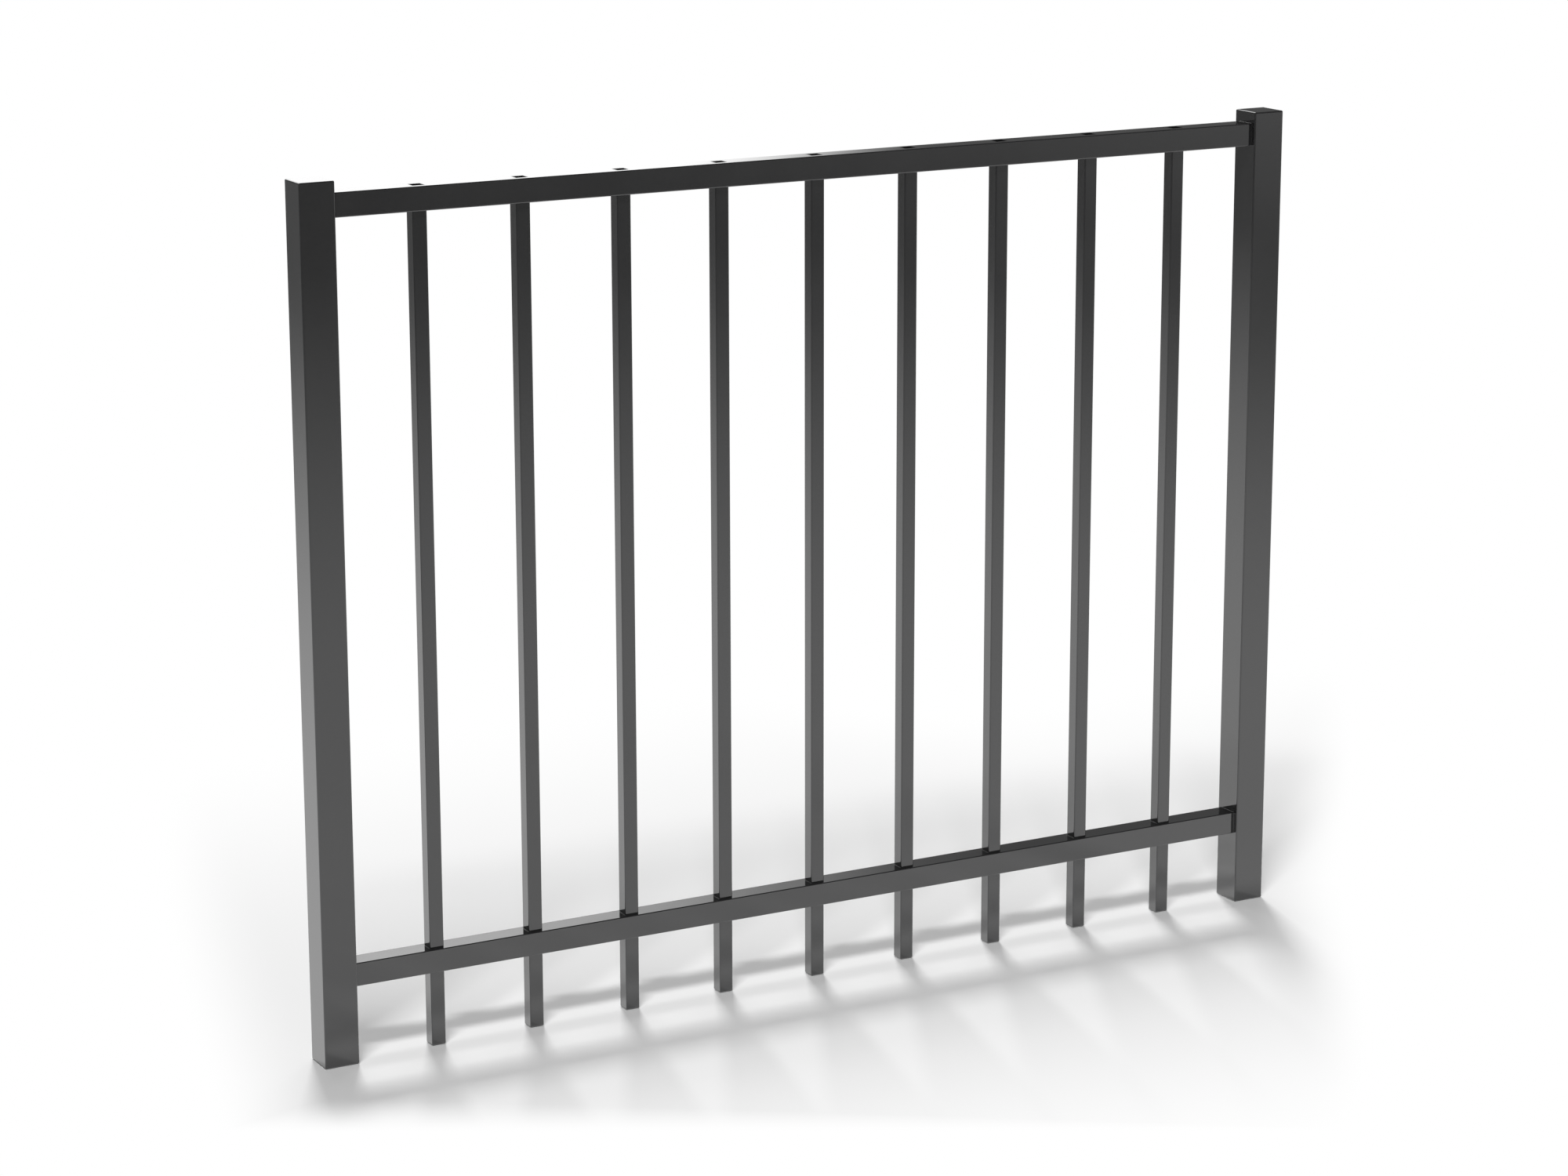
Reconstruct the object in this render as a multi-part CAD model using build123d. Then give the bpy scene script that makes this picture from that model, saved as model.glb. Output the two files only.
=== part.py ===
from build123d import *
import os

# A fence panel of square tube: two posts, two level rails butted between them, and a row of
# pickets threaded through square holes punched in both rails. Posts and pickets all stand on the
# ground. Push-in inserts close the tube ends, apart from the pickets' upper ends, which are open
# and flush with the top rail. Millimetres. X runs along the fence, Y to its back and Z up. The
# origin is the middle of the left post's foot.

# Layout
bay_count = 10
bay_width = 180.0
post_height = 1455.0
bottom_rail_middle = 150.0
top_rail_drop = 40.0

# Square tubes: outside size, wall and outside corner radius. The bores have sharp corners.
post_size = 60.0
post_wall = 3.0
post_corner = 2.5
rail_size = 40.0
rail_wall = 2.0
rail_corner = 1.7
picket_size = 25.0
picket_wall = 2.0
picket_corner = 2.2

# Inserts: a flange as wide as its tube, and a hollow spigot with ribs that grips the bore
post_flange = 4.0
post_spigot_length = 18.0
picket_flange = 3.0
picket_spigot_length = 12.0
spigot_wall = 2.0
rib_count = 3
rib_thickness = 1.0
rib_depth = 0.8
cap_edge_radius = 2.5
foot_bevel = 2.0

# Fits: the free space on each side of a picket in its hole, and of a rib in its bore
hole_clearance = 0.2
rib_clearance = 0.1

post_spacing = bay_count * bay_width
top_rail_middle = post_height - top_rail_drop
top_rail_face = top_rail_middle + rail_size / 2


def upright_tube(size, wall, corner, foot, head):
    """A square tube on the Z axis, from the height foot to the height head."""
    bore = size - 2 * wall
    section = RectangleRounded(size, size, corner) - Rectangle(bore, bore)
    return Pos(0, 0, foot) * extrude(section, head - foot)


def insert(size, wall, corner, flange, spigot_length):
    """An insert under a tube's lower end: its flange lies on Z = 0 and its spigot points up."""
    rib_size = size - 2 * (wall + rib_clearance)
    spigot_size = rib_size - 2 * rib_depth
    hollow_size = spigot_size - 2 * spigot_wall
    body = extrude(RectangleRounded(size, size, corner), flange)
    spigot = extrude(Rectangle(spigot_size, spigot_size), spigot_length)
    ring = extrude(Rectangle(rib_size, rib_size), rib_thickness)
    # The ribs share the spigot's length evenly, and the last one ends at its tip.
    rib_pitch = spigot_length / rib_count
    for rib in range(1, rib_count + 1):
        spigot += Pos(0, 0, rib * rib_pitch - rib_thickness) * ring
    spigot -= extrude(Rectangle(hollow_size, hollow_size), spigot_length)
    return body + Pos(0, 0, flange) * spigot


def outer_edges(solid):
    """The edges round the flange's outer face, which is the lowest face."""
    return solid.faces().sort_by(Axis.Z)[0].edges()


def punched_rail():
    """A level tube between the posts with a square hole through both walls at each picket."""
    bore = rail_size - 2 * rail_wall
    section = RectangleRounded(rail_size, rail_size, rail_corner) - Rectangle(bore, bore)
    body = Pos(post_size / 2, 0, 0) * extrude(Plane.YZ * section, post_spacing - post_size)
    hole_size = picket_size + 2 * hole_clearance
    # The punch's corners are cut off straight, just clear of the picket's round corners.
    corner_cut = (2 - 2 ** 0.5) * (picket_corner + hole_clearance)
    hole = chamfer(Rectangle(hole_size, hole_size).vertices(), corner_cut)
    punch = extrude(hole, rail_size, both=True)
    for bay in range(1, bay_count):
        body -= Pos(bay * bay_width, 0, 0) * punch
    return body


parts = {}

# Posts. The cap is the same moulding as the foot, upside down, with a rounded edge in place of
# the foot's bevel.
post = upright_tube(post_size, post_wall, post_corner, post_flange, post_height - post_flange)
post_insert = insert(post_size, post_wall, post_corner, post_flange, post_spigot_length)
post_foot = chamfer(outer_edges(post_insert), foot_bevel)
rounded_insert = fillet(outer_edges(post_insert), cap_edge_radius)
post_cap = Pos(0, 0, post_height) * Rot(180, 0, 0) * rounded_insert
for side, distance in (("left", 0), ("right", post_spacing)):
    parts[f"{side}_post"] = Pos(distance, 0, 0) * post
    parts[f"{side}_post_foot"] = Pos(distance, 0, 0) * post_foot
    parts[f"{side}_post_cap"] = Pos(distance, 0, 0) * post_cap

# Rails
rail = punched_rail()
parts["top_rail"] = Pos(0, 0, top_rail_middle) * rail
parts["bottom_rail"] = Pos(0, 0, bottom_rail_middle) * rail

# Pickets and their feet
picket = upright_tube(picket_size, picket_wall, picket_corner, picket_flange, top_rail_face)
picket_insert = insert(picket_size, picket_wall, picket_corner, picket_flange, picket_spigot_length)
picket_foot = chamfer(outer_edges(picket_insert), foot_bevel)
for bay in range(1, bay_count):
    parts[f"picket_{bay}"] = Pos(bay * bay_width, 0, 0) * picket
    parts[f"picket_foot_{bay}"] = Pos(bay * bay_width, 0, 0) * picket_foot

os.makedirs("parts", exist_ok=True)
for name, solid in parts.items():
    export_step(solid, f"parts/{name}.step")
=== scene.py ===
# %% [markdown]
# # A metal fence panel, dressed for its picture
# The panel is two posts, two rails and nine pickets of square steel tube, welded together, ground
# flush and then powder coated in black. The CAD model brings the tubes, caps and feet at their true
# size. This lesson adds what the tubes get in the workshop: the gloss of the finish, and the coat
# that closes every joint. Then it sets up the studio, with its floor, its room, its lamps and the
# camera.

# %% Load the frame
import math

import bpy
import numpy as np
from mathutils import Matrix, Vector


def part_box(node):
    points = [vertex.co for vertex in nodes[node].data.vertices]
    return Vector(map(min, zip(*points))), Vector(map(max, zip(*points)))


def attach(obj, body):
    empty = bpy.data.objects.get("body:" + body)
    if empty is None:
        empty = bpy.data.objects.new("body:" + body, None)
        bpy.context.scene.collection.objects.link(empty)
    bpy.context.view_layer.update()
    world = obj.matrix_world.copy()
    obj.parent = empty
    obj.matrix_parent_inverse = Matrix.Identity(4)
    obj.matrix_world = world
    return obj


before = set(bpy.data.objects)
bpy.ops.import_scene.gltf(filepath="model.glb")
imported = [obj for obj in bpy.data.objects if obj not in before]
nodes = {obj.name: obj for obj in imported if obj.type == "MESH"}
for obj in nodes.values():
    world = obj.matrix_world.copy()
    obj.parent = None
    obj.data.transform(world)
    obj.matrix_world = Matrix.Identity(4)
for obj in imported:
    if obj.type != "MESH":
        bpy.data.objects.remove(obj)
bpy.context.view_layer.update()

# %% [markdown]
# ## Reading sizes from the tubes
# A new piece has to sit on its tube, whatever the tube's size is. Typing the sizes again would work
# only until a tube changes. So the middle, the half width and the ends of each tube come from its
# own box, and only the radius of its corners, which a box can't tell, is written down.

# %% Middles and half widths of the tubes
PICKETS = sorted(name for name in nodes if name.startswith("picket_") and "foot" not in name)
RAILS = ["bottom_rail", "top_rail"]
PICKET_CORNER = 0.0022
RAIL_CORNER = 0.0017


def middle_and_half(name):
    """The middle of a node's box, and half its length along X, Y and Z."""
    low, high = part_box(name)
    low, high = np.array(low), np.array(high)
    return (low + high) / 2, (high - low) / 2


PICKET_HALF = float(middle_and_half(PICKETS[0])[1][0])
print(len(PICKETS), "pickets, half width", round(PICKET_HALF, 5))

# %% [markdown]
# ## Small helpers for shader nodes
# A material is a graph of small steps. Writing each step as one call keeps the graph readable: the
# call names the kind of node, its settings and what goes into each of its sockets.

# %% Node helpers
def fresh_tree(owner):
    """An empty node tree on a material or a world."""
    owner.use_nodes = True
    owner.node_tree.nodes.clear()
    return owner.node_tree


def step(tree, kind, sockets=None, **settings):
    """One node of a tree. A socket is given a number, a colour or another node's output."""
    node = tree.nodes.new(kind)
    for key, value in settings.items():
        setattr(node, key, value)
    for key, value in (sockets or {}).items():
        if isinstance(value, bpy.types.NodeSocket):
            tree.links.new(value, node.inputs[key])
        else:
            node.inputs[key].default_value = value
    return node


def ramp(tree, value, start, end, low, high, smooth=True):
    """The value, carried from the range start to end onto low to high, and held past both ends."""
    kind = "SMOOTHSTEP" if smooth else "LINEAR"
    sockets = {"Value": value, "From Min": start, "From Max": end, "To Min": low, "To Max": high}
    return step(tree, "ShaderNodeMapRange", sockets, interpolation_type=kind).outputs["Result"]


def noise(tree, place, bumps, detail, roughness=0.5):
    """A noise pattern with about so many bumps to the metre, as a value around 0.5."""
    sockets = {"Vector": place, "Scale": bumps, "Detail": detail, "Roughness": roughness}
    return step(tree, "ShaderNodeTexNoise", sockets).outputs["Fac"]


print("helpers:", ", ".join(helper.__name__ for helper in (fresh_tree, step, ramp, noise)))

# %% [markdown]
# Sums and products of values are nodes too. These helpers chain as many as are needed, so that a
# formula reads nearly as it does on paper.

# %% Arithmetic helpers
def maths(tree, operation, *values):
    """The output of a Math node on one or two values."""
    sockets = dict(enumerate(values))
    return step(tree, "ShaderNodeMath", sockets, operation=operation).outputs[0]


def total(tree, first, *others):
    """The sum of the values."""
    for value in others:
        first = maths(tree, "ADD", first, value)
    return first


def product(tree, first, *others):
    """The product of the values."""
    for value in others:
        first = maths(tree, "MULTIPLY", first, value)
    return first


def hypotenuse(tree, one, other):
    """The root of the sum of two squares."""
    return maths(tree, "SQRT", total(tree, product(tree, one, one), product(tree, other, other)))


def switched(tree, switch, off, on):
    """One value where the switch is 0, and another where it is 1."""
    return step(tree, "ShaderNodeMix", {0: switch, 2: off, 3: on}, data_type="FLOAT").outputs[0]


print("arithmetic:", ", ".join(h.__name__ for h in (maths, total, product, hypotenuse, switched)))

# %% [markdown]
# ## The powder coat
# Powder coat is a plastic film baked onto steel. Black pigment takes nearly all the light, so what
# shows is the mirror image of the room in a smooth, slightly rippled skin. An image of real coat
# would have one fixed scale and would repeat. One shader with a low base colour and a full clear
# coat, broken up by noise, has neither fault and fits every tube. The noise is orange peel, which
# is the ripple of the film about 2 mm across, then broad soft changes of gloss from the oven, and
# a fine speckle that lifts the colour a little here and there, as dust does.

# %% Powder coat
BASE_IOR = 1.8
FILM_IOR = 1.5
GLOSS_BUMPS = 7.0
GLOSS_CHANGE = 0.03
GLOSS_RANGE = (0.3, 0.7)
DUST_BUMPS = 900.0
DUST_GAIN = 1.9
DUST_LIFT = 0.002
PATCH_RANGE = (0.35, 0.7)
PATCH_SHARES = (0.55, 1.0)


def coated(name, black, base_gloss, film_gloss, peel_bumps, peel_depth):
    """A black gloss skin with a rippled surface, uneven gloss and a faint bloom of dust."""
    material = bpy.data.materials.new(name)
    tree = fresh_tree(material)
    place = step(tree, "ShaderNodeTexCoord").outputs["Object"]
    broad = noise(tree, place, GLOSS_BUMPS, detail=3.0)
    speckle = noise(tree, place, DUST_BUMPS, detail=1.0)
    dust = product(tree, ramp(tree, broad, *PATCH_RANGE, *PATCH_SHARES), speckle)
    pale = tuple(channel * DUST_GAIN + DUST_LIFT for channel in black)
    colour = step(tree, "ShaderNodeMix", {"Factor": dust, 6: (*black, 1), 7: (*pale, 1)},
                  data_type="RGBA").outputs[2]
    rough = ramp(tree, broad, *GLOSS_RANGE, base_gloss - GLOSS_CHANGE, base_gloss + GLOSS_CHANGE)
    peel = noise(tree, place, peel_bumps, detail=1.5, roughness=0.4)
    ripple = step(tree, "ShaderNodeBump", {"Height": peel, "Strength": 1.0, "Distance": peel_depth})
    shader = step(tree, "ShaderNodeBsdfPrincipled", {
        "Base Color": colour, "Roughness": rough, "IOR": BASE_IOR, "Normal": ripple.outputs[0],
        "Coat Weight": 1.0, "Coat Roughness": film_gloss, "Coat IOR": FILM_IOR,
        "Coat Normal": ripple.outputs[0]})
    out = step(tree, "ShaderNodeOutputMaterial")
    tree.links.new(shader.outputs[0], out.inputs["Surface"])
    return material


powder_coat = coated("black_powder_coat", black=(0.009, 0.009, 0.0094), base_gloss=0.1,
                     film_gloss=0.08, peel_bumps=420.0, peel_depth=0.000008)
print("made", powder_coat.name)

# %% [markdown]
# ## The plastic of caps and feet
# The inserts are moulded plastic, dyed through. It could have a maker of its own, but only its
# numbers differ: the mould leaves a finer and flatter grain than orange peel, and a little less
# gloss. So the same maker is used again.

# %% Cap plastic
cap_plastic = coated("black_cap_plastic", black=(0.01, 0.01, 0.0104), base_gloss=0.13,
                     film_gloss=0.11, peel_bumps=1100.0, peel_depth=0.000003)
print("made", cap_plastic.name)

# %% [markdown]
# ## Dressing the CAD nodes
# Each node already has its shape, so it only gets a finish in its material slots. The inserts are
# told from the tubes by their names.

# %% Materials on the CAD nodes
for name, node in nodes.items():
    finish = cap_plastic if "foot" in name or "cap" in name else powder_coat
    node.data.materials.clear()
    node.data.materials.append(finish)
print("dressed", len(nodes), "nodes")

# %% [markdown]
# ## Where the coat closes a joint
# Powder melts and flows in the oven, so it fills the hairline between a picket and its hole and
# leaves a tiny hollow fillet there. Joining the tubes and bevelling the seam would change the CAD
# parts, so the fillet is a thin ring of its own. It is a profile carried along a rounded square.
# Every profile point keeps its distance from the tube, so its own path is the tube's outline grown
# by that distance, straight sides and round corners alike.

# %% The outline that a profile follows
ARC_STEPS = 6


def rounded_square(half, corner, grow):
    """Points round a square with round corners, in its own plane.

    A corner's points are its arc centre plus (corner + grow) times cosine and sine of an angle that
    runs through a quarter turn. The centre lies at half minus corner, so the straight sides end up
    at half plus grow from the middle.
    """
    turn = np.repeat(np.arange(4) * math.pi / 2, ARC_STEPS + 1)
    angle = np.tile(np.linspace(0, math.pi / 2, ARC_STEPS + 1), 4) + turn
    centre = (half - corner) * math.sqrt(2)
    u = centre * np.cos(turn + math.pi / 4) + (corner + grow) * np.cos(angle)
    v = centre * np.sin(turn + math.pi / 4) + (corner + grow) * np.sin(angle)
    return np.stack([u, v], axis=-1)


outline = rounded_square(PICKET_HALF, PICKET_CORNER, 0.0)
print("a picket's outline has", len(outline), "points, out to", round(float(outline.max()), 5))

# %% [markdown]
# Carrying a closed profile along a closed path gives a grid that is closed both ways, like a ring.
# Its corners are numbered row by row, so the faces follow from the numbers alone.

# %% A profile carried round a square tube
def closed_grid_faces(rows, columns):
    """Quads of a grid closed both ways. Corner (i, j) is number i * columns + j."""
    i, j = np.meshgrid(np.arange(rows), np.arange(columns), indexing="ij")
    i2, j2 = (i + 1) % rows, (j + 1) % columns
    quads = np.stack([i * columns + j, i2 * columns + j, i2 * columns + j2, i * columns + j2], -1)
    return quads.reshape(-1, 4)


def tube_ring(half, corner, profile):
    """A ring round a square tube, with the tube along the third axis.

    The profile is a closed loop of (distance from the tube's face, height). Each of its points runs
    once round the tube on the outline grown by its distance.
    """
    loops = [rounded_square(half, corner, grow) for grow, height in profile]
    flat = np.stack(loops, axis=1)
    height = np.broadcast_to(profile[:, 1], flat.shape[:2])[..., None]
    points = np.concatenate([flat, height], axis=-1)
    return points.reshape(-1, 3), closed_grid_faces(*flat.shape[:2])


test_profile = np.array([(0, 0), (0.001, 0), (0, 0.001)])
test_points, test_quads = tube_ring(PICKET_HALF, PICKET_CORNER, test_profile)
print("a test ring has", len(test_points), "points and", len(test_quads), "faces")

# %% [markdown]
# ## Which way a ring faces
# Faces have to point outwards, and whether they do depends on the axes that a ring is laid along.
# Blender can recalculate that for a whole mesh, but a sum over the faces answers it for each ring
# before there is a mesh: the volume inside comes out negative if the ring is inside out.

# %% The volume inside a skin
def signed_volume(points, quads):
    """The volume inside a closed skin of quads: a sum of tetrahedra from the origin to triangles."""
    a, b, c, d = (points[quads[:, k]] for k in range(4))
    first = np.einsum("ij,ij->i", a, np.cross(b, c))
    second = np.einsum("ij,ij->i", a, np.cross(c, d))
    return (first.sum() + second.sum()) / 6


test_volume = abs(float(signed_volume(test_points, test_quads)))
print("the test ring holds", round(test_volume * 1e9, 1), "cubic millimetres")

# %% [markdown]
# ## From arrays to a mesh
# Several rings go into one mesh by stacking their points and shifting their face numbers. The face
# corners are handed over as one flat array, which is much faster than adding faces one at a time.

# %% Arrays into an object
SHARP_ANGLE = math.radians(35)


def make_piece(name, shells, material):
    """One object from closed shells of points and quads, each turned to face outwards."""
    points, faces, count = [], [], 0
    for shell_points, quads in shells:
        if signed_volume(shell_points - shell_points.mean(0), quads) < 0:
            quads = quads[:, ::-1]
        points.append(shell_points)
        faces.append(quads + count)
        count += len(shell_points)
    points, faces = np.concatenate(points), np.concatenate(faces)
    mesh = bpy.data.meshes.new(name)
    mesh.vertices.add(len(points))
    mesh.vertices.foreach_set("co", points.astype(np.float32).ravel())
    mesh.loops.add(faces.size)
    mesh.loops.foreach_set("vertex_index", faces.ravel().astype(np.int32))
    mesh.polygons.add(len(faces))
    mesh.polygons.foreach_set("loop_start", np.arange(0, faces.size, 4, dtype=np.int32))
    mesh.polygons.foreach_set("use_smooth", np.ones(len(faces), dtype=bool))
    mesh.update(calc_edges=True)
    mesh.validate()
    mesh.set_sharp_from_angle(angle=SHARP_ANGLE)
    mesh.materials.append(material)
    piece = bpy.data.objects.new(name, mesh)
    bpy.context.scene.collection.objects.link(piece)
    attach(piece, "root")
    return piece


print("edges over", round(math.degrees(SHARP_ANGLE)), "degrees stay sharp")

# %% [markdown]
# ## The coat's profiles
# The fillet's profile is a hollow quarter circle: it touches the tube at one end and the rail's
# face at the other. Its third side lies a little way inside both metals, so no light shows behind
# it. On top of the top rail picket and rail are flush, and there the coat only bridges the
# hairline, level with both.

# %% Fillet and bridge profiles
COAT_LEG = 0.0003
COAT_SINK = 0.00025
BRIDGE_HALF = 0.0006
BRIDGE_RISE = 0.00002
FILLET_POINTS = 5


def hollow_profile(leg, sink):
    """A hollow quarter circle from the tube to the face, closed through a corner inside the metal.

    The arc's centre is at (leg, leg), so a point on it is leg times one minus the cosine or sine.
    """
    angle = np.linspace(0, math.pi / 2, FILLET_POINTS)
    arc = np.stack([leg * (1 - np.cos(angle)), leg * (1 - np.sin(angle))], axis=-1)
    inside = np.array([(leg, -sink), (-sink, -sink), (-sink, leg)])
    return np.concatenate([inside, arc])


def bridge_profile(half, rise, sink):
    """A flat strip over the hairline, level with both faces and closed inside the metal."""
    return np.array([(-half, rise), (half, rise), (half, -sink), (-half, -sink)])


fillet = hollow_profile(COAT_LEG, COAT_SINK)
bridge = bridge_profile(BRIDGE_HALF, BRIDGE_RISE, COAT_SINK)
print("fillet profile", len(fillet), "points, bridge profile", len(bridge), "points")

# %% [markdown]
# ## The coat round each picket
# A picket comes out of each rail at its upper and its lower face, so it gets four rings in one
# mesh. The rings could be four objects moved into place, but a finished piece keeps its place in
# its mesh. So the points themselves are turned and moved. A ring's height runs away from the face
# that it lies on: up on top of a rail and down under it.

# %% Coat round each picket
UP = [(1, 0, 0), (0, 1, 0), (0, 0, 1)]
DOWN = [(1, 0, 0), (0, 1, 0), (0, 0, -1)]


def placed(ring, origin, axes):
    """A ring moved to its place: its own three axes are laid along the given ones."""
    points, quads = ring
    return points @ np.array(axes, float) + np.array(origin, float), quads


for name in PICKETS:
    middle, half = middle_and_half(name)
    lower_ring = tube_ring(half[0], PICKET_CORNER, fillet)
    shells = []
    for rail in RAILS:
        rail_middle, rail_half = middle_and_half(rail)
        top, bottom = rail_middle[2] + rail_half[2], rail_middle[2] - rail_half[2]
        goes_through = middle[2] + half[2] > top + COAT_LEG
        upper_ring = tube_ring(half[0], PICKET_CORNER, fillet if goes_through else bridge)
        shells.append(placed(upper_ring, (*middle[:2], top), UP))
        shells.append(placed(lower_ring, (*middle[:2], bottom), DOWN))
    make_piece(name + "_coat_joints", shells, powder_coat)
print("coat joints on", len(PICKETS), "pickets")

# %% [markdown]
# ## The coat round each rail end
# The rails butt against the posts, so the same ring goes round each rail's end, with its height
# measured away from the post. Only the axes change: the ring's plane is now the post's face.

# %% Coat round each rail end
TO_RIGHT = [(0, 1, 0), (0, 0, 1), (1, 0, 0)]
TO_LEFT = [(0, 1, 0), (0, 0, 1), (-1, 0, 0)]
for rail in RAILS:
    middle, half = middle_and_half(rail)
    ring = tube_ring(half[1], RAIL_CORNER, fillet)
    ends = [placed(ring, middle - (half[0], 0, 0), TO_RIGHT),
            placed(ring, middle + (half[0], 0, 0), TO_LEFT)]
    make_piece(rail + "_coat_joints", ends, powder_coat)
print("coat joints on", len(RAILS), "rails")

# %% [markdown]
# ## A table of lamps
# Three soft lamps make the shadows on the floor. One stands in front on the left and is high, one
# stands behind and is lower, and a weak one hangs nearly overhead. A table holds what makes each
# one different: its turn from +Y and its height in degrees, the share of the floor's light that it
# brings, and its width and length, which soften its shadow. The lamps are hung later, but the
# floor already needs the sum of their shares.

# %% Table of lamps
LAMPS = {
    "lamp_front": {"turn": 219, "height": 57, "share": 0.53, "width": 14.0, "length": 4.5},
    "lamp_back": {"turn": 20, "height": 37, "share": 0.4, "width": 10.0, "length": 12.0},
    "lamp_top": {"turn": 20, "height": 78, "share": 0.14, "width": 12.0, "length": 8.0},
}
LAMP_LIGHT = sum(row["share"] for row in LAMPS.values())
print(len(LAMPS), "lamps bring", round(LAMP_LIGHT, 2), "of the light that shows a colour as written")

# %% [markdown]
# ## The white around the shadow
# The floor takes the lamps' light and keeps the panel's shadow, and away from that the camera sees
# even white. Brighter lamps could clip the floor to white, but they would wash out the finish and
# the shadow too. So the camera sees the floor mixed with white, by a share that is 0 where shadow
# falls and 1 outside. Shadow falls in a strip along the feet that leans as the light does, to the
# right behind the panel and to the left in front of it. The strip is painted shade: all of it keeps
# the lit floor's grey, also between the lamps' shadows, and its edge fades softly to white.

# %% How white the floor is to the camera
PANEL_HALF = float(middle_and_half("right_post")[0][0]) / 2
LEAN_BEHIND, LEAN_BEFORE = 0.55, 0.45
SPREAD_BEHIND, SPREAD_BEFORE = 0.3, 0.12
SIDE_WEIGHT = 8.0
BEHIND_WEIGHTS = (1.0, 1.35)
WEIGHT_CHANGE = (1.5, 2.1)
BEFORE_WEIGHT = 1.6
TURNS_WHITE = (0.2, 1.8)
SLANT_X, SLANT_Y = 0.48, 0.877
SLANT_EDGE = (-0.32, -0.16)


def surround(tree, place):
    """How white the floor is: 0 in the strip of painted shade where the shadow falls, and 1 well
    outside it.

    The strip's middle line and its half width change evenly with each metre behind or before the
    panel. The distance from the strip is the root of two squares: the metres past its side, with a
    large weight, and the metres behind or before the panel, with a small one. A straight line that
    slants past the left post's foot cuts the strip off in front.
    """
    behind = maths(tree, "MAXIMUM", place["Y"], 0.0)
    before = maths(tree, "MINIMUM", place["Y"], 0.0)
    lean = total(tree, product(tree, behind, LEAN_BEHIND), product(tree, before, LEAN_BEFORE))
    spread = total(tree, product(tree, behind, SPREAD_BEHIND),
                   product(tree, before, SPREAD_BEFORE))
    half = total(tree, spread, PANEL_HALF)
    across = maths(tree, "SUBTRACT", maths(tree, "SUBTRACT", place["X"], PANEL_HALF), lean)
    past_side = maths(tree, "SUBTRACT", maths(tree, "ABSOLUTE", across), half)
    aside = product(tree, maths(tree, "MAXIMUM", past_side, 0.0), SIDE_WEIGHT)
    behind_weight = ramp(tree, place["X"], *WEIGHT_CHANGE, *BEHIND_WEIGHTS)
    away = maths(tree, "SUBTRACT", product(tree, behind, behind_weight),
                 product(tree, before, BEFORE_WEIGHT))
    outside = ramp(tree, hypotenuse(tree, aside, away), *TURNS_WHITE, 0.0, 1.0)
    slant = total(tree, product(tree, place["X"], SLANT_X), product(tree, place["Y"], SLANT_Y))
    return maths(tree, "MAXIMUM", outside, ramp(tree, slant, *SLANT_EDGE, 1.0, 0.0))


print("the strip of shadow is", round(2 * PANEL_HALF, 3), "m wide at the feet")

# %% [markdown]
# ## The pool of light in the mirror
# The coat mirrors the floor, and that is what shades the black faces from bottom to top. A floor
# that is white to the horizon would mirror as one flat grey. So in the mirror the floor's grey is a
# painted pool of light around the panel that dims a few metres away, as the lit floor of a studio
# does, and stays paler far to the right. The painted pool is a little darker in front at the left,
# and a narrow strip before the feet is painted darker, as contact shade.

# %% The painted pool of light in the mirror
POOL_GREY = 0.83
FRONT_DEPTH = -0.4
FRONT_ENDS = (0.9, 3.9)
FRONT_CHANGES = (-0.11, 0.04)
# The strip just before the feet is painted contact shade in the mirrored floor.
FOOT_SHADE_GREY = 0.74
STRIP_MIDDLE, STRIP_FRONT, STRIP_BACK = -0.03, -0.14, 0.0
FAR_GREY = 0.16
FAR_RISE = 0.31
FAR_RIGHT = (3.0, 9.0)
POOL_FADES = (0.6, 8.2)


def near_grey(tree, place):
    """The painted pool's grey at the panel: one grey, changed in front from left to right, and
    darkened by painted contact shade in the strip.
    """
    in_front = ramp(tree, place["Y"], 0.0, FRONT_DEPTH, 0.0, 1.0, smooth=False)
    change = ramp(tree, place["X"], *FRONT_ENDS, *FRONT_CHANGES, smooth=False)
    grey = total(tree, product(tree, in_front, change), POOL_GREY)
    strip = maths(tree, "MAXIMUM",
                  ramp(tree, place["Y"], STRIP_MIDDLE, STRIP_FRONT, FOOT_SHADE_GREY, 1.0),
                  ramp(tree, place["Y"], STRIP_MIDDLE, STRIP_BACK, FOOT_SHADE_GREY, 1.0))
    return product(tree, grey, strip)


def panel_distance(tree, place):
    """Metres from the line of the feet: the root of the squares of metres past its end and of Y."""
    from_middle = maths(tree, "ABSOLUTE", maths(tree, "SUBTRACT", place["X"], PANEL_HALF))
    past_end = maths(tree, "SUBTRACT", from_middle, PANEL_HALF)
    return hypotenuse(tree, maths(tree, "MAXIMUM", past_end, 0.0), place["Y"])


def pool(tree, place):
    """The painted pool of light in the mirror: the near grey, fading with the distance to the far
    grey.
    """
    aside = ramp(tree, place["X"], *FAR_RIGHT, 0.0, 1.0, smooth=False)
    far = total(tree, product(tree, aside, aside, FAR_RISE), FAR_GREY)
    fade = ramp(tree, panel_distance(tree, place), *POOL_FADES, 1.0, 0.0)
    return total(tree, product(tree, maths(tree, "SUBTRACT", near_grey(tree, place), far), fade), far)


print("the pool fades from", POOL_GREY, "to", FAR_GREY)

# %% [markdown]
# ## The floor's material
# The floor's material asks what looks at it. The camera gets the pale floor with its white
# surround, and the mirror gets the painted pool of light. A part of the pool is a painted glow that
# shines by itself, as brightly as the lamps would light it, so the shadows that the coat mirrors
# are softer.

# %% Floor material
FLOOR_GREY = 0.8
MIRROR_GLOW = 0.4


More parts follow.
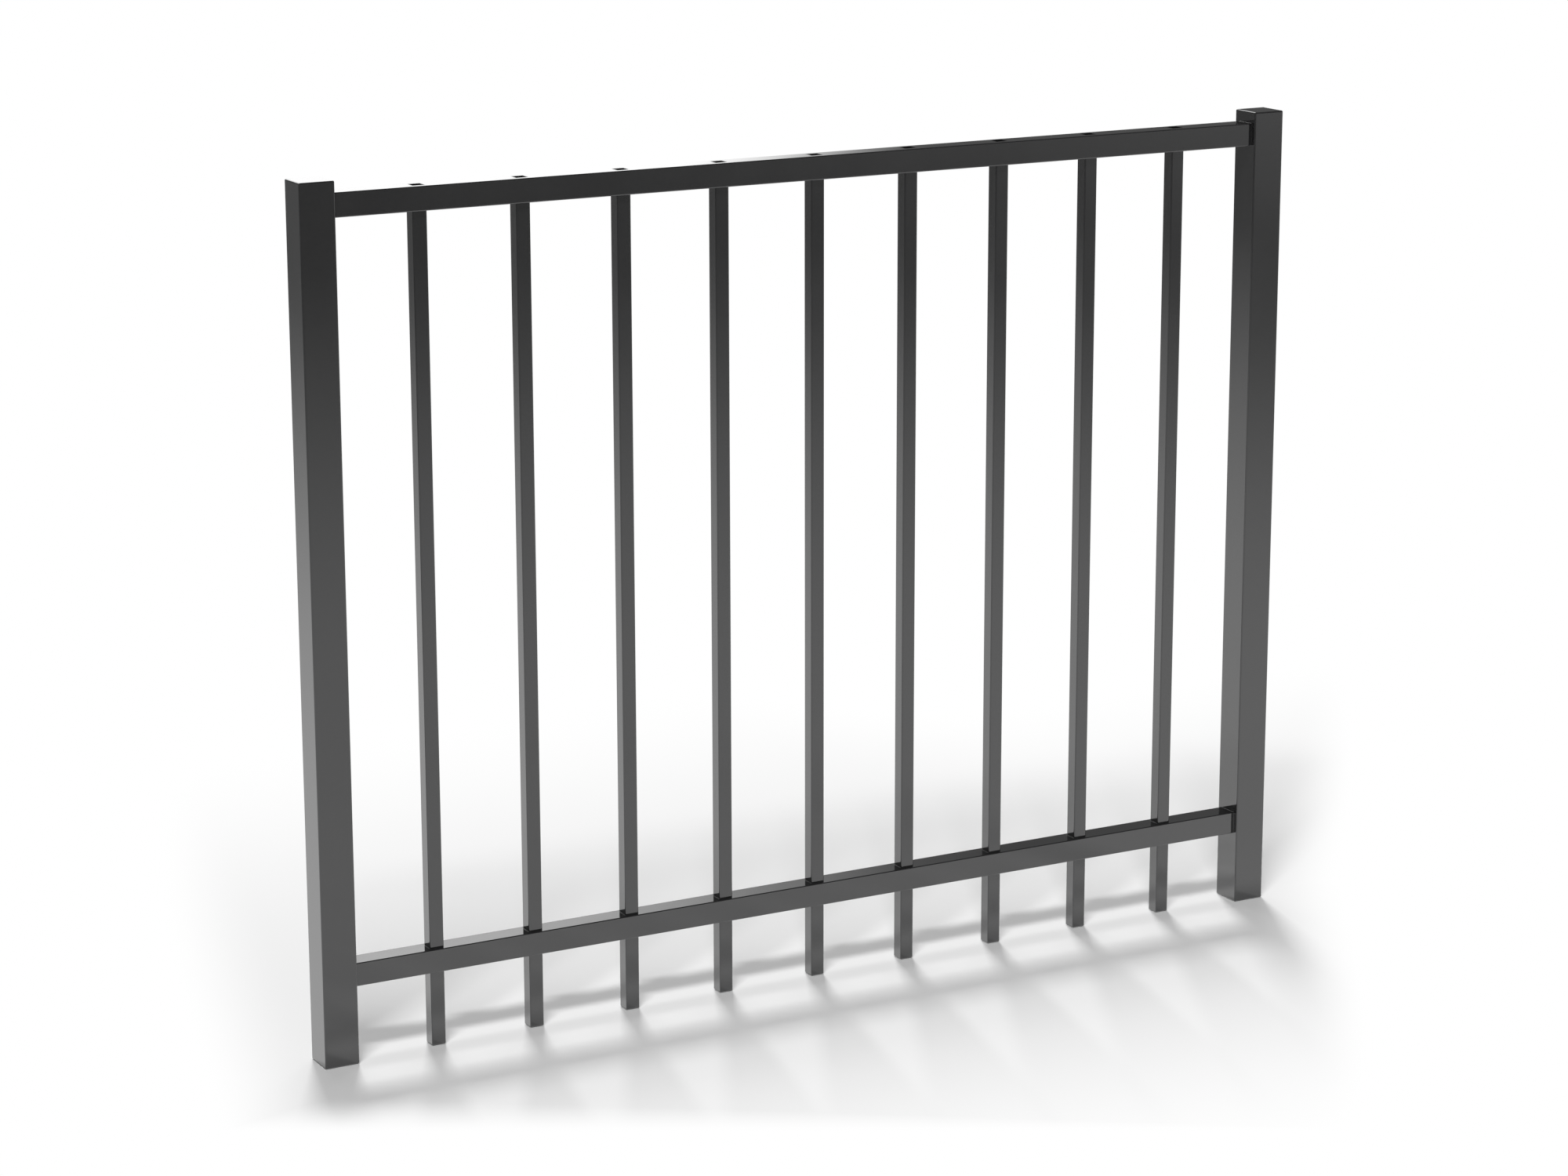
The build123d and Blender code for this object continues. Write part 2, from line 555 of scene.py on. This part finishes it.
def floor_material():
    """Pale and lit, mixed with white for the camera, and a painted pool of light, partly glowing, in
    the mirror.
    """
    material = bpy.data.materials.new("studio_floor")
    tree = fresh_tree(material)
    spot = step(tree, "ShaderNodeTexCoord").outputs["Object"]
    place = step(tree, "ShaderNodeSeparateXYZ", {"Vector": spot}).outputs
    path = step(tree, "ShaderNodeLightPath").outputs
    seen, mirrored = path["Is Camera Ray"], path["Is Glossy Ray"]
    pool_here = pool(tree, place)
    # In the mirror the floor's colour is the painted pool of light.
    grey = switched(tree, mirrored, FLOOR_GREY, pool_here)
    colour = step(tree, "ShaderNodeCombineColor", {0: grey, 1: grey, 2: grey}).outputs[0]
    lit = step(tree, "ShaderNodeBsdfDiffuse", {"Color": colour})
    strength = switched(tree, mirrored, 1.0, product(tree, pool_here, LAMP_LIGHT))
    glow = step(tree, "ShaderNodeEmission", {"Strength": strength})
    share = total(tree, product(tree, surround(tree, place), seen),
                  product(tree, mirrored, MIRROR_GLOW))
    both = step(tree, "ShaderNodeMixShader", {0: share, 1: lit.outputs[0], 2: glow.outputs[0]})
    out = step(tree, "ShaderNodeOutputMaterial")
    tree.links.new(both.outputs[0], out.inputs["Surface"])
    return material


studio_floor = floor_material()
print("made", studio_floor.name, "with", len(studio_floor.node_tree.nodes), "nodes")

# %% [markdown]
# ## The floor
# One flat square does for the floor. A curved backdrop would hide the horizon in one view, but the
# white surround and a floor that runs far out do so in all of them.

# %% Floor
FLOOR_HALF = 60.0

floor_mesh = bpy.data.meshes.new("floor")
corners = [(-FLOOR_HALF, -FLOOR_HALF, 0), (FLOOR_HALF, -FLOOR_HALF, 0),
           (FLOOR_HALF, FLOOR_HALF, 0), (-FLOOR_HALF, FLOOR_HALF, 0)]
floor_mesh.from_pydata(corners, [], [(0, 1, 2, 3)])
floor_mesh.materials.append(studio_floor)
floor = bpy.data.objects.new("floor", floor_mesh)
bpy.context.scene.collection.objects.link(floor)
print("floor", 2 * FLOOR_HALF, "m wide")

# %% [markdown]
# ## The room in the mirror
# The camera sees white in every direction, but the coat mirrors a room. A pale wall stands behind
# the panel, from 6 to 29 degrees to the right of +Y, and the other walls are dim. The flat tops of
# the rails look straight at the wall's right edge: that is why they are white on the left and dark
# on the right. The edge is sharper low down. Higher up the wall reaches further left and is
# brighter, like a window, and only the rounded left edges of the caps mirror that, as a white
# line. Walls and a window could be built around the scene, but ramps over the direction put each
# edge exactly where it is wanted, and nothing stands in a camera's way.

# %% How bright the mirrored room is
RAILS_LOOK = (0.13, 0.31)
CAPS_LOOK = (0.33, 0.38)
WALL_START = math.radians(6)
WINDOW_START = math.radians(-18)
START_SOFT = 0.1
WALL_EDGE = math.radians(29)
EDGE_LEAN = 0.022
EDGE_SOFT = (0.032, 0.072)
WALL_LIGHT = (1.32, 0.9)
WINDOW_GAIN = 2.3
DIM_LIGHT = (0.088, 0.105)


def room_light(tree, way):
    """How bright the room is in a direction: dim, plus the wall's light between its two edges.

    The turn is the direction's angle from +Y to the right. Each edge of the wall is a soft step in
    the turn. The edges, their softness and both lights change with the height, which is the Z of
    the direction: over RAILS_LOOK for what the rails mirror, and over CAPS_LOOK for the window.
    """
    height = way["Z"]
    turn = maths(tree, "ARCTAN2", way["X"], way["Y"])
    soft = ramp(tree, height, *RAILS_LOOK, *EDGE_SOFT, smooth=False)
    edge = ramp(tree, height, *RAILS_LOOK, WALL_EDGE, WALL_EDGE - EDGE_LEAN, smooth=False)
    right = ramp(tree, turn, maths(tree, "SUBTRACT", edge, soft), total(tree, edge, soft), 1.0, 0.0)
    start = ramp(tree, height, *CAPS_LOOK, WALL_START, WINDOW_START)
    left = ramp(tree, turn, start, total(tree, start, START_SOFT), 0.0, 1.0)
    wall = ramp(tree, height, *RAILS_LOOK, *WALL_LIGHT, smooth=False)
    gain = ramp(tree, height, *CAPS_LOOK, 1.0, WINDOW_GAIN)
    dim = ramp(tree, height, *RAILS_LOOK, *DIM_LIGHT, smooth=False)
    return total(tree, dim, product(tree, wall, right, left, gain))


print("the pale wall spans", round(math.degrees(WALL_EDGE - WALL_START)), "degrees")

# %% [markdown]
# The world asks the same question as the floor. The camera gets a strength of 1, which is white.
# Gloss gets the room. All other light gets next to nothing, because a world that lit the floor
# would fill its shadows.

# %% World
FILL = 0.008


def room():
    """White to the camera, the room to gloss, and a faint fill to everything else."""
    world = bpy.data.worlds.new("studio")
    tree = fresh_tree(world)
    path = step(tree, "ShaderNodeLightPath").outputs
    look = step(tree, "ShaderNodeTexCoord").outputs["Generated"]
    way = step(tree, "ShaderNodeSeparateXYZ", {"Vector": look}).outputs
    mirrored = maths(tree, "MAXIMUM", path["Is Glossy Ray"], path["Is Transmission Ray"])
    unseen = switched(tree, mirrored, FILL, room_light(tree, way))
    strength = switched(tree, path["Is Camera Ray"], unseen, 1.0)
    back = step(tree, "ShaderNodeBackground", {"Color": (1, 1, 1, 1), "Strength": strength})
    out = step(tree, "ShaderNodeOutputWorld")
    tree.links.new(back.outputs[0], out.inputs["Surface"])
    return world


bpy.context.scene.world = room()
print("made the world", bpy.context.scene.world.name)

# %% [markdown]
# ## Hanging the lamps
# Sun lamps would give parallel light, but their shadows soften the same way in all directions. An
# area lamp has a width and a length of its own, as a softbox has. It hangs 50 m off, so that the
# floor is lit evenly, and its power follows from its share. The lamps are kept out of the mirror,
# because the picture shows no bright streaks of them.

# %% Lamps
LAMP_DISTANCE = 50.0
AIM_HEIGHT = 0.2
AIM = np.array([PANEL_HALF, 0.0, AIM_HEIGHT])


def lamp(name, turn, height, share, width, length):
    """A soft lamp that lights the floor by its share.

    The light on the floor is the power times the sine of the height, over pi times the distance
    squared, and a share of 1 is a light of pi. So the power is the share times pi squared times the
    distance squared, over the sine of the height.
    """
    turn, height = math.radians(turn), math.radians(height)
    way = np.array([math.sin(turn) * math.cos(height), math.cos(turn) * math.cos(height),
                    math.sin(height)])
    light = bpy.data.lights.new(name, "AREA")
    light.shape, light.size, light.size_y = "RECTANGLE", width, length
    light.energy = share * math.pi ** 2 * LAMP_DISTANCE ** 2 / math.sin(height)
    holder = bpy.data.objects.new(name, light)
    side = np.array([math.cos(turn), -math.sin(turn), 0.0])
    turned = np.stack([side, np.cross(way, side), way], axis=1)
    spot = AIM + way * LAMP_DISTANCE
    holder.matrix_world = Matrix.Translation(spot.tolist()) @ Matrix(turned.tolist()).to_4x4()
    holder.visible_camera = False
    holder.visible_glossy = False
    bpy.context.scene.collection.objects.link(holder)
    print(name, "at", np.round(spot, 2), "power", round(light.energy))


for name, row in LAMPS.items():
    lamp(name, **row)

# %% [markdown]
# ## The camera
# The camera stands where the photographer stood. A camera placed by eye is always a little off, so
# its place, turn and lens come from fitting the straight edges of the tubes, and the panel's
# outline falls where it does in the picture.

# %% Camera
CAMERA_PLACE = (-2.343, -5.8132, 2.3256)
CAMERA_TURN = 0.5011
CAMERA_TILT = -0.2405
CAMERA_ROLL = -0.0018
FOCAL_PIXELS = 5123.43
PICTURE_WIDTH = 2000
SENSOR_WIDTH = 36.0
CLIP_END = 200.0


def camera_axes(turn, tilt, roll):
    """Right, up and forward of a camera that looks along +Y, turned right, tilted up and rolled."""
    forward = np.array([math.sin(turn) * math.cos(tilt), math.cos(turn) * math.cos(tilt),
                        math.sin(tilt)])
    right = np.array([math.cos(turn), -math.sin(turn), 0.0])
    up = np.cross(right, forward)
    rolled = math.cos(roll) * right + math.sin(roll) * up
    return rolled, -math.sin(roll) * right + math.cos(roll) * up, forward


right, up, forward = camera_axes(CAMERA_TURN, CAMERA_TILT, CAMERA_ROLL)
lens = bpy.data.cameras.new("camera")
lens.sensor_width = SENSOR_WIDTH
lens.lens = FOCAL_PIXELS * SENSOR_WIDTH / PICTURE_WIDTH
lens.clip_end = CLIP_END
camera = bpy.data.objects.new("camera", lens)
facing = Matrix(np.stack([right, up, -forward], axis=1).tolist()).to_4x4()
camera.matrix_world = Matrix.Translation(CAMERA_PLACE) @ facing
bpy.context.scene.collection.objects.link(camera)
bpy.context.scene.camera = camera
bpy.context.scene.view_settings.view_transform = "Standard"
print("lens", round(lens.lens, 2), "mm")
